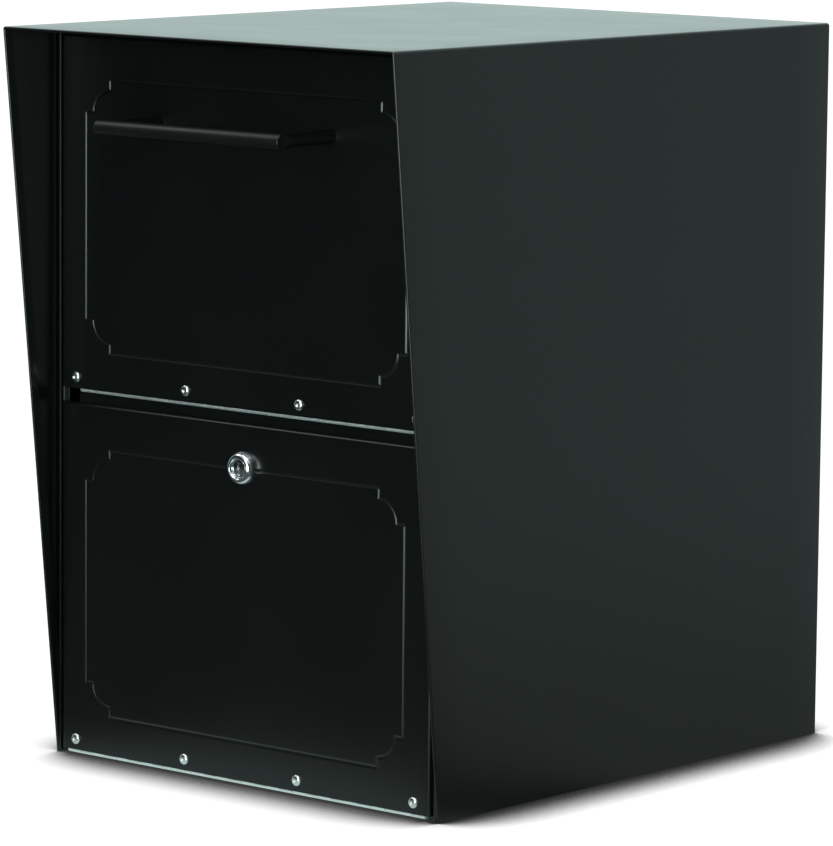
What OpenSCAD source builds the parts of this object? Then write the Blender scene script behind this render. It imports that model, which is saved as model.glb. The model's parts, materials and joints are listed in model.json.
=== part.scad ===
// Parcel drop box: a folded sheet-steel cabinet with a tilting hopper door above a
// locked retrieval door. Millimetres, +Z up, the doors face -Y and +X is on the
// right of someone facing them. The origin is the centre of the four floor bolt
// holes, on the surface that the box stands on.

/* [Cabinet] */
// Outside width
cabinet_w = 381; // [370:1:400]
// Outside height
cabinet_h = 552; // [548:1:570]
// Depth from the door faces to the back
cabinet_d = 456; // [440:1:480]
// How far the hood's front edge stands in front of the door faces
hood_overhang = 55; // [40:1:60]
// How far the foot of each wing is set back from the door faces
wing_setback = 1.5; // [1:0.5:4]
// Thickness of every folded sheet
sheet_t = 1.2; // [1:0.1:1.2]
// Outside bend radius between the top and the sides
bend_r = 2.5; // [2:0.5:4]
// Width of the hem folded inside the front edges
hem_w = 8; // [6:1:10]
// Width of the flanges turned in at the back
back_flange_w = 18; // [14:1:24]
// Height of the floor pan's upturned flanges
pan_flange_h = 15; // [10:1:20]

/* [Floor bolts] */
// Spacing of the bolt holes across the width
bolt_spacing_x = 240; // [200:5:280]
// Spacing of the bolt holes along the depth
bolt_spacing_y = 300; // [240:5:340]
// Diameter of each bolt hole
bolt_hole_d = 9; // [7:0.5:11]

/* [Doors] */
// Width of both doors
door_w = 366; // [366:0.5:366.5]
// Height of both doors
door_h = 264; // [262:0.5:264]
// Depth of the rim turned back round the top and sides of a door
door_rim = 4.4; // [3.5:0.1:4.4]
// Height of the upper hinge's axis above the floor
upper_axis_z = 279; // [278:0.5:280]
// How far the hopper door tilts open
hopper_open_deg = 60; // [45:1:60]

/* [Stamped outline] */
// Width across each door's outline
outline_w = 315; // [290:1:320]
// Height of each door's outline
outline_h = 203; // [180:1:206]
// Height of the outline's bottom line above its door's hinge axis
outline_rise = 30; // [28:0.5:34]
// Length of the little step beside each corner arc
corner_step = 7.5; // [5:0.5:10]
// Radius of each corner arc
corner_r = 17; // [12:0.5:22]
// Width of the stamped groove
groove_w = 3; // [2:0.5:4]
// Depth of the stamped groove
groove_depth = 0.5; // [0.3:0.1:0.6]

/* [Hinges] */
// Outside radius of the knuckles
knuckle_r = 1.8; // [1.8:0.05:1.85]
// Radius of the hinge pins
hinge_pin_r = 1; // [0.9:0.05:1]
// Length of one knuckle, with its gap
knuckle_pitch = 12.7; // [12:0.1:12.8]
// Knuckles on the upper hinge
upper_knuckles = 26; // [24:2:26]
// Knuckles on the lower hinge
lower_knuckles = 28; // [26:2:28]
// Thickness of the hinge leaves
leaf_t = 0.95; // [0.8:0.05:1]
// Reach of each leaf from the hinge axis
leaf_reach = 17; // [15:0.5:18]

/* [Rivets] */
// Distance of the outer door rivets from the centre line
outer_rivet_x = 168; // [160:0.5:168]
// Height of the door rivets above their hinge axis
rivet_rise = 9.4; // [8.5:0.1:10]
// Radius of a domed rivet head
rivet_head_r = 4.2; // [3.6:0.1:4.6]
// Height of a domed rivet head
rivet_head_h = 2.2; // [1.6:0.1:2.6]

/* [Handle] */
// Length of the handle's bar
handle_l = 180; // [150:1:190]
// Distance of the bar's axis from the door face
handle_standoff = 57; // [35:1:60]
// Diameter of the bar
handle_d = 11.6; // [9:0.2:13]
// Height of the bar's axis above the upper hinge axis
handle_rise = 204.4; // [150:0.2:215]

/* [Hopper] */
// Radius of the cheeks about the hinge axis
cheek_r = 213; // [180:1:214]
// Slope of the drop tray below the horizontal when the door is shut
tray_slope = 30; // [25:1:32]
// Distance of the fixed baffle behind the door faces
baffle_back = 198; // [196:1:205]
// Height of the baffle's bottom edge above the upper hinge axis
baffle_rise = 116; // [115:1:130]

/* [Lock] */
// Distance of the lock from the centre line
lock_x = 2.5; // [0:0.5:5]
// Height of the lock's axis above the lower hinge axis
lock_rise = 234; // [232:0.5:235]
// Radius of the lock's domed bezel
bezel_r = 12.7; // [11:0.1:14]
// Height of the bezel in front of the door
bezel_h = 7.4; // [5:0.1:8]
// Reach of the lock's cam from its axis
cam_reach = 37; // [34:0.5:37]

/* [Hidden] */
$fn = 48;
// Sides of the larger circles.
smooth_fn = 96;

powder_black = [0.09, 0.1, 0.1];
bare_steel = [0.72, 0.73, 0.74];
chrome = [0.85, 0.86, 0.88];
zinc = [0.62, 0.64, 0.66];

// Cutting tools run this far past the faces that they cut.
cut = 1;
// The clearance of a shaft in its bore, measured on the radius.
running_gap = 0.05;
// The gap left between parts that move past each other face to face.
face_gap = 0.3;
// The gap behind the rim of a shut door.
shut_gap = 0.4;
// The tip of a cone-shaped screw head, as a share of its widest radius.
screw_head_taper = 0.75;

// Cabinet planes
half_w = cabinet_w / 2;
inside_x = half_w - sheet_t;
front_y = -cabinet_d / 2;
back_y = cabinet_d / 2;
hood_y = front_y - hood_overhang;
wing_foot_y = front_y + wing_setback;
roof_z = cabinet_h - sheet_t;

// Door planes: the skin's back, the frame's face that the rim shuts on, and the axes
skin_back_y = front_y + sheet_t;
stop_y = front_y + door_rim + shut_gap;
axis_y = skin_back_y + knuckle_r;
lower_axis_z = sheet_t + knuckle_r;
door_bottom = knuckle_r + face_gap;

// Jambs and rails
jamb_x = inside_x - sheet_t;
jamb_flange_x = 180;
jamb_depth = 46;
jamb_edge_back = 1.4;
jamb_joggle = 14;
rail_h = 20;
rail_depth = 28;
cross_top_z = upper_axis_z - knuckle_r;
cross_front_h = 19;
cross_depth = 24;
cross_lip = 11;
notch_x = 169;
notch_h = 9;
baffle_lip = 12;
baffle_flange = 22;

// Hopper tray, cheeks and the ears that stop it
cheek_x = 173.4;
tray_flange_top = 19.5;
tray_shelf_y = 29;
tray_shelf_z = 4.5;
tray_lip = 8;
ear_reach = 206;
ear_h = 12;
ear_w = 9.4;

// Liner of the retrieval door, its heights taken from the lower hinge axis
liner_half_w = 165;
liner_bottom = 21;
liner_top = 203;
liner_depth = 18;

// Hinge leaves and rivets
door_leaf_half_l = 172;
rivet_shank_r = 2;
rivet_set_r = 3.2;
rivet_set_h = 2;
leaf_rivet_pitch = 54;
leaf_rivet_y = 10;
leaf_rivet_r = 1.6;
leaf_rivet_head_r = 3;
leaf_rivet_head_h = 1;
leaf_rivet_tail_r = 2.4;
leaf_rivet_tail_h = 1.2;
upper_leaf_rivet_count = 6;
lower_leaf_rivet_count = 7;
back_rivet_edge = back_flange_w / 2 + sheet_t;
back_rivet_rows = 5;
back_rivet_low = 30;

// Handle
post_r = 5;
post_inset = 6;
screw_shank_r = 2.4;
screw_depth = 20;
screw_head_r = 4.5;
screw_head_h = 2.6;

// Lock
lock_z = lower_axis_z + lock_rise;
rim_r = 9.2;
rim_depth = 0.8;
plug_r = 6.9;
barrel_r = 9.4;
tail_w = 5;
keyway_w = 1.8;
keyway_h = 9;
keyway_depth = 5;
cam_t = 2.4;
cam_w = 13;
cam_hub_r = 8;
cam_gap = 2;
cam_front_y = stop_y + sheet_t + cam_gap;
cam_screw_r = 1.5;
cam_screw_l = 8;
washer_t = 0.8;
nut_t = 3.6;

// ---- Folded sheet ----

// The direction of segment i of a path, held inside the path's ends.
function along(path, i) =
    let (k = min(max(i, 0), len(path) - 2), step = path[k + 1] - path[k])
    step / norm(step);
function left_of(v) = [-v.y, v.x];
// Point i of a path moved to its left by t, mitred at the fold.
function mitred(path, i, t) =
    let (a = along(path, i - 1), b = along(path, i))
    path[i] + t * (left_of(a) + left_of(b)) / (1 + a * b);
// The section of a sheet folded along a path, its thickness on the path's left.
function folded(path, t = sheet_t) =
    concat(path, [for (i = [len(path) - 1 : -1 : 0]) mitred(path, i, t)]);

// Stands a Y-Z section up and runs it from x0 to x1.
module along_x(x0, x1) {
    translate([x0, 0, 0]) rotate([90, 0, 90]) linear_extrude(x1 - x0) children();
}

// Stands an X-Z section up and runs it from y0 to y1.
module along_y(y0, y1) {
    translate([0, y1, 0]) rotate([90, 0, 0]) linear_extrude(y1 - y0) children();
}

module box(low, high) {
    translate(low) cube(high - low);
}

// ---- Fasteners ----

// A domed rivet standing on the face y = 0 and facing -Y, its set end behind a
// stack of sheets of thickness grip.
module dome_rivet(grip) {
    dome_r = (rivet_head_r * rivet_head_r + rivet_head_h * rivet_head_h) / (2 * rivet_head_h);
    intersection() {
        translate([0, dome_r - rivet_head_h, 0]) sphere(dome_r);
        rotate([90, 0, 0]) cylinder(h = rivet_head_h + cut, r = rivet_head_r);
    }
    rotate([-90, 0, 0]) cylinder(h = grip, r = rivet_shank_r);
    translate([0, grip, 0]) rotate([-90, 0, 0])
        cylinder(h = rivet_set_h, r1 = rivet_set_r, r2 = rivet_shank_r);
}

// A hole along Y that starts in front of the face y = 0.
module hole_y(r, depth) {
    translate([0, -cut, 0]) rotate([-90, 0, 0]) cylinder(h = depth + cut, r = r + running_gap);
}

// The places of a door's four rivets, above the hinge axis at height axis_z.
module at_door_rivets(axis_z) {
    for (i = [-3 : 2 : 3])
        translate([i * outer_rivet_x / 3, front_y, axis_z + rivet_rise]) children();
}

// The places of a row of rivets down through a frame leaf, on the sheet under it.
module at_leaf_rivets(count, axis_z) {
    for (i = [0 : count - 1])
        translate([(i - (count - 1) / 2) * leaf_rivet_pitch, axis_y + leaf_rivet_y,
            axis_z - knuckle_r]) children();
}

module leaf_rivet_hole() {
    translate([0, 0, -2 * cut - sheet_t])
        cylinder(h = sheet_t + 5 * cut, r = leaf_rivet_r + running_gap);
}

// The places of the rivets round the back, facing +Y.
module at_back_rivets() {
    x = half_w - back_rivet_edge;
    top = cabinet_h - back_rivet_edge;
    rise = (top - back_rivet_low) / (back_rivet_rows - 1);
    for (side = [-1, 1], i = [0 : back_rivet_rows - 1])
        translate([side * x, back_y, back_rivet_low + i * rise]) rotate([0, 0, 180]) children();
    for (i = [-1 : 1]) translate([i * x / 2, back_y, top]) rotate([0, 0, 180]) children();
}

// ---- Cabinet ----

// The section of the top and sides, filled in, each face moved in by inset.
module wrap_section(inset) {
    x = half_w - inset;
    z = cabinet_h - inset;
    r = bend_r - inset;
    translate([-x, -cut]) square([2 * x, z - r + cut]);
    translate([-x + r, 0]) square([2 * (x - r), z]);
    for (side = [-1, 1]) translate([side * (x - r), z - r]) circle(r);
}

// The outline of a side seen from the end, its wing sloping out to the hood.
module side_outline(inset = 0) {
    polygon([
        [wing_foot_y + inset, -cut], [back_y + cut, -cut], [back_y + cut, cabinet_h + cut],
        [hood_y + inset, cabinet_h + cut], [hood_y + inset, cabinet_h], [wing_foot_y + inset, 0]
    ]);
}

// The top and both sides, folded from one sheet.
module outer_wrap() {
    color(powder_black) difference() {
        intersection() {
            union() {
                wrap_shell();
                wrap_hem();
                wrap_back_flanges();
            }
            along_x(-cabinet_w, cabinet_w) side_outline();
        }
        box([-cabinet_w, hood_y - cut, -2 * cut], [cabinet_w, back_y + cut, 0]);
        at_back_rivets() hole_y(rivet_shank_r, 2 * sheet_t);
    }
}

module wrap_shell() {
    difference() {
        along_y(hood_y - cut, back_y) wrap_section(0);
        along_y(hood_y - 2 * cut, back_y + cut) wrap_section(sheet_t);
    }
}

// A second thickness folded inside the front edges of the wings and the hood.
module wrap_hem() {
    difference() {
        along_y(hood_y - cut, front_y + 2 * hem_w) wrap_section(sheet_t / 2);
        along_y(hood_y - 2 * cut, front_y + 3 * hem_w) wrap_section(2 * sheet_t);
        along_x(-cabinet_w, cabinet_w) side_outline(hem_w);
    }
}

module wrap_back_flanges() {
    y = back_y - sheet_t;
    x = inside_x - back_flange_w;
    difference() {
        along_y(y, back_y) wrap_section(sheet_t / 2);
        box([-x, y - cut, -2 * cut], [x, back_y + cut, roof_z - back_flange_w]);
    }
}

module back_panel() {
    y = back_y - sheet_t;
    color(powder_black) difference() {
        along_y(y - sheet_t, y) wrap_section(sheet_t);
        box([-cabinet_w, y - sheet_t - cut, -2 * cut], [cabinet_w, y + cut, 0]);
        at_back_rivets() hole_y(rivet_shank_r, 3 * sheet_t);
    }
}

module back_rivets() {
    color(bare_steel) at_back_rivets() dome_rivet(2 * sheet_t);
}

// The floor, with flanges up the sides and back, narrower between the jambs.
module floor_pan() {
    back = back_y - 2 * sheet_t;
    shoulder = stop_y + jamb_depth;
    section = [
        [-inside_x, pan_flange_h], [-inside_x, 0], [inside_x, 0], [inside_x, pan_flange_h]
    ];
    color(powder_black) difference() {
        union() {
            along_y(shoulder, back) polygon(folded(section));
            box([-jamb_flange_x, stop_y, 0], [jamb_flange_x, shoulder + cut, sheet_t]);
            box([-inside_x, back - sheet_t, 0], [inside_x, back, pan_flange_h]);
        }
        for (x = [-1, 1], y = [-1, 1])
            translate([x * bolt_spacing_x / 2, y * bolt_spacing_y / 2, -cut])
                cylinder(h = sheet_t + 2 * cut, d = bolt_hole_d);
        at_leaf_rivets(lower_leaf_rivet_count, lower_axis_z) leaf_rivet_hole();
    }
}

// A front post on the right. Its leg joggles in from the side sheet to clear the
// wing's hem, its edge folds back on itself, and a narrow flange turns in behind
// the doors as their stop.
module jamb() {
    front = front_y + jamb_edge_back;
    rear = stop_y + jamb_depth;
    joggle = front + jamb_joggle;
    leg_x = jamb_x - sheet_t;
    fold_x = leg_x - sheet_t;
    section = [
        [jamb_flange_x, stop_y], [fold_x, stop_y], [fold_x, front], [jamb_x, front],
        [jamb_x, joggle], [inside_x, joggle + 2 * sheet_t], [inside_x, rear],
        [inside_x - sheet_t, rear], [inside_x - sheet_t, joggle + 3 * sheet_t],
        [leg_x, joggle + sheet_t], [leg_x, stop_y + sheet_t], [jamb_flange_x, stop_y + sheet_t]
    ];
    color(powder_black) linear_extrude(roof_z - bend_r) polygon(section);
}

module right_jamb() { jamb(); }
module left_jamb() { mirror([1, 0, 0]) jamb(); }

// The rail behind the hopper door's top edge.
module head_rail() {
    section = [[stop_y, roof_z - rail_h], [stop_y, roof_z], [stop_y + rail_depth, roof_z]];
    color(powder_black) along_x(-jamb_flange_x, jamb_flange_x) polygon(folded(section, -sheet_t));
}

// The rail between the doors: an upside-down channel whose top is cut short
// beside the hopper's cheeks. The lock's cam turns up behind its front flange.
module cross_member() {
    bottom = cross_top_z - cross_front_h;
    section = [
        [stop_y, bottom], [stop_y, cross_top_z], [stop_y + cross_depth, cross_top_z],
        [stop_y + cross_depth, cross_top_z - cross_lip]
    ];
    color(powder_black) difference() {
        union() {
            along_x(-notch_x, notch_x) polygon(folded(section, -sheet_t));
            box([-jamb_flange_x, stop_y, bottom],
                [jamb_flange_x, stop_y + sheet_t, cross_top_z - notch_h]);
        }
        at_leaf_rivets(upper_leaf_rivet_count, upper_axis_z) leaf_rivet_hole();
    }
}

// The fixed plate that keeps a hand from reaching over the tray.
module hopper_baffle() {
    y = front_y + baffle_back;
    z = upper_axis_z + baffle_rise;
    section = [[y + baffle_lip, z], [y, z], [y, roof_z], [y + baffle_flange, roof_z]];
    color(powder_black) intersection() {
        along_x(-inside_x, inside_x) polygon(folded(section, -sheet_t));
        along_y(y - cut, y + baffle_flange + cut) wrap_section(sheet_t);
    }
}

// ---- Hinges ----

// One leaf standing on the axis at the origin, its face level with the front of
// the knuckles. It has every second knuckle, counted from first.
module leaf(count, first, half_l) {
    length = knuckle_pitch - face_gap;
    difference() {
        union() {
            for (i = [first : 2 : count - 1])
                translate([(i - count / 2) * knuckle_pitch + face_gap / 2, 0, 0]) {
                    rotate([0, 90, 0]) cylinder(h = length, r = knuckle_r);
                    translate([0, -knuckle_r, 0]) cube([length, leaf_t, door_bottom + leaf_t]);
                }
            translate([-half_l, -knuckle_r, door_bottom])
                cube([2 * half_l, leaf_t, leaf_reach - door_bottom]);
        }
        translate([-cabinet_w / 2, 0, 0]) rotate([0, 90, 0])
            cylinder(h = cabinet_w, r = hinge_pin_r + running_gap);
    }
}

// A leaf behind a door's skin.
module door_leaf(count, axis_z) {
    color(bare_steel) difference() {
        translate([0, axis_y, axis_z]) leaf(count, 0, door_leaf_half_l);
        at_door_rivets(axis_z) hole_y(rivet_shank_r, 2 * knuckle_r);
    }
}

// A leaf lying on the frame: a standing one with its Y and Z exchanged.
module frame_leaf(count, axis_z, rivet_count) {
    color(bare_steel) difference() {
        translate([0, axis_y, axis_z]) mirror([0, 1, -1])
            leaf(count, 1, count * knuckle_pitch / 2);
        at_leaf_rivets(rivet_count, axis_z) leaf_rivet_hole();
    }
}

module hinge_pin(count, axis_z) {
    length = count * knuckle_pitch - face_gap;
    color(bare_steel) translate([-length / 2, axis_y, axis_z]) rotate([0, 90, 0])
        cylinder(h = length, r = hinge_pin_r);
}

// The low heads that hold a frame leaf down, set below a sheet by tail_h.
module leaf_rivets(count, axis_z, tail_h) {
    color(bare_steel) at_leaf_rivets(count, axis_z) {
        translate([0, 0, leaf_t]) cylinder(h = leaf_rivet_head_h, r = leaf_rivet_head_r);
        translate([0, 0, -sheet_t]) cylinder(h = sheet_t + leaf_t, r = leaf_rivet_r);
        if (tail_h > 0)
            translate([0, 0, -sheet_t - tail_h]) cylinder(h = tail_h, r = leaf_rivet_tail_r);
    }
}

module upper_frame_leaf() { frame_leaf(upper_knuckles, upper_axis_z, upper_leaf_rivet_count); }
module lower_frame_leaf() { frame_leaf(lower_knuckles, lower_axis_z, lower_leaf_rivet_count); }
module upper_door_leaf() { door_leaf(upper_knuckles, upper_axis_z); }
module lower_door_leaf() { door_leaf(lower_knuckles, lower_axis_z); }
module upper_hinge_pin() { hinge_pin(upper_knuckles, upper_axis_z); }
module lower_hinge_pin() { hinge_pin(lower_knuckles, lower_axis_z); }
module upper_leaf_rivets() { leaf_rivets(upper_leaf_rivet_count, upper_axis_z, leaf_rivet_tail_h); }
module lower_leaf_rivets() { leaf_rivets(lower_leaf_rivet_count, lower_axis_z, 0); }

// ---- Door skins ----

// A quarter of the stamped outline, centred on the outline's middle: a straight
// side and top, and between them a step in, an arc bulging outward and a step.
module outline_quarter() {
    w = outline_w / 2;
    h = outline_h / 2;
    g = groove_w / 2;
    arc_x = w - corner_step - corner_r;
    arc_z = h - corner_step - corner_r;
    translate([w - g, 0]) square([groove_w, arc_z + g]);
    translate([w - corner_step - g, arc_z - g]) square([corner_step + groove_w, groove_w]);
    translate([arc_x, arc_z]) intersection() {
        difference() {
            circle(corner_r + g);
            circle(corner_r - g);
        }
        square(2 * corner_r);
    }
    translate([arc_x - g, h - corner_step - g]) square([groove_w, corner_step + groove_w]);
    translate([0, h - g]) square([arc_x + g, groove_w]);
}

// The whole outline, cut into the front face of a door.
module stamped_outline(axis_z) {
    translate([0, 0, axis_z + outline_rise + outline_h / 2])
        along_y(front_y - cut, front_y + groove_depth)
            for (x = [0, 1], z = [0, 1]) mirror([x, 0]) mirror([0, z]) outline_quarter();
}

// A door's face with a rim turned back at the top and sides.
module door_skin(axis_z) {
    x = door_w / 2;
    low = axis_z + door_bottom;
    high = low + door_h;
    difference() {
        box([-x, front_y, low], [x, front_y + door_rim, high]);
        box([-x + sheet_t, skin_back_y, low - cut], [x - sheet_t, stop_y, high - sheet_t]);
        stamped_outline(axis_z);
        at_door_rivets(axis_z) hole_y(rivet_shank_r, 2 * sheet_t);
    }
}

module upper_door_skin() {
    color(powder_black) difference() {
        door_skin(upper_axis_z);
        at_handle_posts() hole_y(screw_shank_r, 2 * sheet_t);
    }
}

module lower_door_skin() {
    color(powder_black) difference() {
        door_skin(lower_axis_z);
        at_lock() hole_y(barrel_r, 2 * sheet_t);
    }
}

module upper_door_rivets() {
    color(bare_steel) at_door_rivets(upper_axis_z) dome_rivet(2 * sheet_t + leaf_t);
}

module lower_door_rivets() {
    color(bare_steel) at_door_rivets(lower_axis_z) dome_rivet(sheet_t + leaf_t);
}

// The pan that stiffens the retrieval door from behind.
module lower_door_liner() {
    low = [-liner_half_w, skin_back_y, lower_axis_z + liner_bottom];
    high = [liner_half_w, skin_back_y + liner_depth, lower_axis_z + liner_top];
    wall = [sheet_t, sheet_t, sheet_t];
    color(powder_black) difference() {
        box(low, high);
        box([low.x + sheet_t, low.y - cut, low.z + sheet_t], high - wall);
    }
}

// ---- Hopper ----

// How far to go from a point in a direction to reach a circle of radius r.
function reach_to(point, heading, r) =
    let (p = point * heading) -p + sqrt(p * p - point * point + r * r);

// The tray's slope, in Y and Z from the hinge axis: where it starts, and its heading.
slope_start = [tray_shelf_y, tray_shelf_z];
slope_heading = [cos(tray_slope), -sin(tray_slope)];

module drop_tray() {
    flange_y = leaf_t - knuckle_r;
    edge = slope_start + slope_heading * reach_to(slope_start, slope_heading, cheek_r - 3);
    lip = edge - tray_lip * [sin(tray_slope), cos(tray_slope)];
    section = [[flange_y, tray_flange_top], [flange_y, tray_shelf_z], slope_start, edge, lip];
    color(powder_black) difference() {
        translate([0, axis_y, upper_axis_z]) along_x(-cheek_x, cheek_x) polygon(folded(section));
        at_door_rivets(upper_axis_z) hole_y(rivet_shank_r, 3 * knuckle_r);
    }
}

// The side of the hopper on the right: a sector about the hinge axis, with an
// ear bent outward that meets the back of the jamb when the hopper is open.
module cheek() {
    far = 2 * cheek_r;
    ear_y = stop_y + sheet_t + face_gap - axis_y;
    color(powder_black) translate([0, axis_y, upper_axis_z]) {
        along_x(cheek_x, cheek_x + sheet_t) intersection() {
            circle(cheek_r, $fn = smooth_fn);
            polygon([
                [-knuckle_r, tray_shelf_z], slope_start, slope_start + far * slope_heading,
                [far, far], [-knuckle_r, far]
            ]);
        }
        rotate([-hopper_open_deg, 0, 0])
            box([cheek_x, ear_y, ear_reach - ear_h],
                [cheek_x + sheet_t + ear_w, ear_y + sheet_t, ear_reach]);
    }
}

module right_cheek() { cheek(); }
module left_cheek() { mirror([1, 0, 0]) cheek(); }

// The places of the handle's two posts, on the door's face.
module at_handle_posts() {
    for (side = [-1, 1])
        translate([side * (handle_l / 2 - post_inset), front_y, upper_axis_z + handle_rise])
            children();
}

module door_handle() {
    bar_y = front_y - handle_standoff;
    color(powder_black) difference() {
        union() {
            translate([-handle_l / 2, bar_y, upper_axis_z + handle_rise]) rotate([0, 90, 0])
                cylinder(h = handle_l, d = handle_d);
            at_handle_posts() rotate([90, 0, 0]) cylinder(h = handle_standoff, r = post_r);
        }
        at_handle_posts() rotate([90, 0, 0])
            translate([0, 0, -cut]) cylinder(h = screw_depth + 2 * cut, r = screw_shank_r + running_gap);
    }
}

module handle_screws() {
    color(zinc) at_handle_posts() {
        translate([0, -screw_depth, 0]) rotate([-90, 0, 0])
            cylinder(h = screw_depth + sheet_t, r = screw_shank_r);
        translate([0, sheet_t, 0]) rotate([-90, 0, 0])
            cylinder(h = screw_head_h, r1 = screw_head_r, r2 = screw_head_r * screw_head_taper);
    }
}

// ---- Lock ----

// The lock's axis, where it comes through the door's face.
module at_lock() {
    translate([lock_x, front_y, lock_z]) children();
}

// The bezel's dome in radius and height: a quarter ellipse from the door up to
// its rim, then a cone in to the plug.
function bezel_profile(bore_r) = concat(
    [[bore_r, 0]],
    [for (a = [0 : 15 : 90]) [rim_r + (bezel_r - rim_r) * cos(a), bezel_h * sin(a)]],
    [[bore_r, bezel_h - rim_depth]]
);

module lock_housing() {
    bore_r = plug_r + running_gap;
    barrel_l = cam_front_y - face_gap - front_y;
    color(chrome) at_lock() rotate([90, 0, 0]) {
        rotate_extrude() polygon(bezel_profile(bore_r));
        difference() {
            translate([0, 0, -barrel_l]) cylinder(h = barrel_l, r = barrel_r);
            translate([0, 0, -barrel_l - cut]) cylinder(h = barrel_l + 2 * cut, r = bore_r);
        }
    }
}

module lock_washer() {
    color(zinc) at_lock() difference() {
        hole_ring(skin_back_y - front_y, washer_t, bezel_r, smooth_fn);
        hole_y(barrel_r, bezel_r);
    }
}

module lock_nut() {
    color(zinc) at_lock() difference() {
        hole_ring(skin_back_y - front_y + washer_t, nut_t, bezel_r, 6);
        hole_y(barrel_r, bezel_r);
    }
}

// A disc behind the door's face, from depth y, with the number of sides given.
module hole_ring(y, h, r, sides) {
    translate([0, y, 0]) rotate([-90, 0, 0]) cylinder(h = h, r = r, $fn = sides);
}

module lock_plug() {
    back_l = cam_front_y - front_y;
    front_l = bezel_h - rim_depth - running_gap;
    color(chrome) at_lock() rotate([90, 0, 0]) difference() {
        union() {
            translate([0, 0, -back_l]) cylinder(h = back_l + front_l, r = plug_r);
            translate([-tail_w / 2, -tail_w / 2, -back_l - cam_t])
                cube([tail_w, tail_w, cam_t + cut]);
        }
        translate([-keyway_w / 2, -keyway_h / 2, front_l - keyway_depth])
            cube([keyway_w, keyway_h, keyway_depth + cut]);
        translate([0, 0, -back_l - cam_t - cut])
            cylinder(h = cam_screw_l + cut, r = cam_screw_r + running_gap);
    }
}

// The cam, stored pointing sideways so that the door is free to open.
module lock_cam() {
    tip_r = cam_w / 2;
    hole_w = tail_w + 2 * running_gap;
    color(zinc) translate([lock_x, cam_front_y, lock_z]) rotate([-90, 0, 0]) difference() {
        union() {
            cylinder(h = cam_t, r = cam_hub_r);
            translate([-cam_reach + tip_r, 0, 0]) cylinder(h = cam_t, r = tip_r);
            translate([-cam_reach + tip_r, -tip_r, 0]) cube([cam_reach - tip_r, cam_w, cam_t]);
        }
        translate([-hole_w / 2, -hole_w / 2, -cut]) cube([hole_w, hole_w, cam_t + 2 * cut]);
    }
}

module cam_screw() {
    color(zinc) translate([lock_x, cam_front_y + cam_t, lock_z]) rotate([-90, 0, 0]) {
        cylinder(h = screw_head_h, r1 = screw_head_r, r2 = screw_head_r * screw_head_taper);
        translate([0, 0, -cam_screw_l]) cylinder(h = cam_screw_l, r = cam_screw_r);
    }
}

outer_wrap();
back_panel();
floor_pan();
left_jamb();
right_jamb();
head_rail();
cross_member();
hopper_baffle();
back_rivets();
upper_frame_leaf();
upper_hinge_pin();
upper_leaf_rivets();
lower_frame_leaf();
lower_hinge_pin();
lower_leaf_rivets();
upper_door_skin();
upper_door_leaf();
upper_door_rivets();
drop_tray();
left_cheek();
right_cheek();
door_handle();
handle_screws();
lower_door_skin();
lower_door_liner();
lower_door_leaf();
lower_door_rivets();
lock_housing();
lock_washer();
lock_nut();
lock_plug();
lock_cam();
cam_screw();
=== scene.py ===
"""The looks of a parcel drop box: folded and hemmed sheet, stamped doors, continuous hinges,
pop rivets, a bar handle and a cam lock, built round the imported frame. Metres, +Z up."""
import json
import math

import bmesh
import bpy
import numpy as np
from mathutils import Matrix, Vector


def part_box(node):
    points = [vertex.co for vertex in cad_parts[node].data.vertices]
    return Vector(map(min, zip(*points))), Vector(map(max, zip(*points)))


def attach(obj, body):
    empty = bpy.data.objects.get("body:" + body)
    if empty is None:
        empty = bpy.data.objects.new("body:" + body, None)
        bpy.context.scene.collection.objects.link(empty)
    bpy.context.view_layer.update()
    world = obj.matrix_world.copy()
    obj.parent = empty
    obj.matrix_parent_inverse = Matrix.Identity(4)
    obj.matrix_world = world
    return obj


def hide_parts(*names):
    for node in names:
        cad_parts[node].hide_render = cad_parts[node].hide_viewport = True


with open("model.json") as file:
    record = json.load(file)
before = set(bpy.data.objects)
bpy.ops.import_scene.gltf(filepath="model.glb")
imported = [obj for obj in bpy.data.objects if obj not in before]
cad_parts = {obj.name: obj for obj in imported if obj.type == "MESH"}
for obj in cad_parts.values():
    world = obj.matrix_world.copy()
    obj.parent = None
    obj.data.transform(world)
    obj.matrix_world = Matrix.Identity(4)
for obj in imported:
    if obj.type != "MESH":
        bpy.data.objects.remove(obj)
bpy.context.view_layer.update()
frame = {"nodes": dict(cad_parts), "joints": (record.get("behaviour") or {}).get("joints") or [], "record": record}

MM = 0.001
WELD = 1e-6
SMOOTH_BELOW = math.radians(32)

# ---- Sizes that the frame doesn't state ----

# Sheet metal. A slit is left between surfaces that touch, and EDGE is a small chamfer
SHEET = 1.2 * MM
SLIT = 0.05 * MM
EDGE = 0.15 * MM
CUT_R = 0.3 * MM
INNER_BEND = 1.2 * MM

# Cabinet
TOP_BEND = 2.5 * MM
BACK_BEND = 2.0 * MM
HEM = 8 * MM
BACK_FLANGE = 18 * MM
WING_SETBACK = 1.5 * MM
POST_BEHIND_DOOR = 4.8 * MM
POST_JOGGLE = 14 * MM

# Hopper: its shelf ends in a slope, and all of it stays inside circles about the hinge axis
SHELF_END = np.array([29 * MM, 4.5 * MM])
TRAY_SLOPE = math.radians(30)
TRAY_R = 210 * MM
TRAY_LIP = 8 * MM
CHEEK_R = 213 * MM
HOPPER_OPEN = math.radians(60)
EAR_BEHIND_DOOR = 6.3 * MM
EAR_LENGTH = 9 * MM
EAR_FROM, EAR_TO = 194 * MM, 206 * MM

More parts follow.
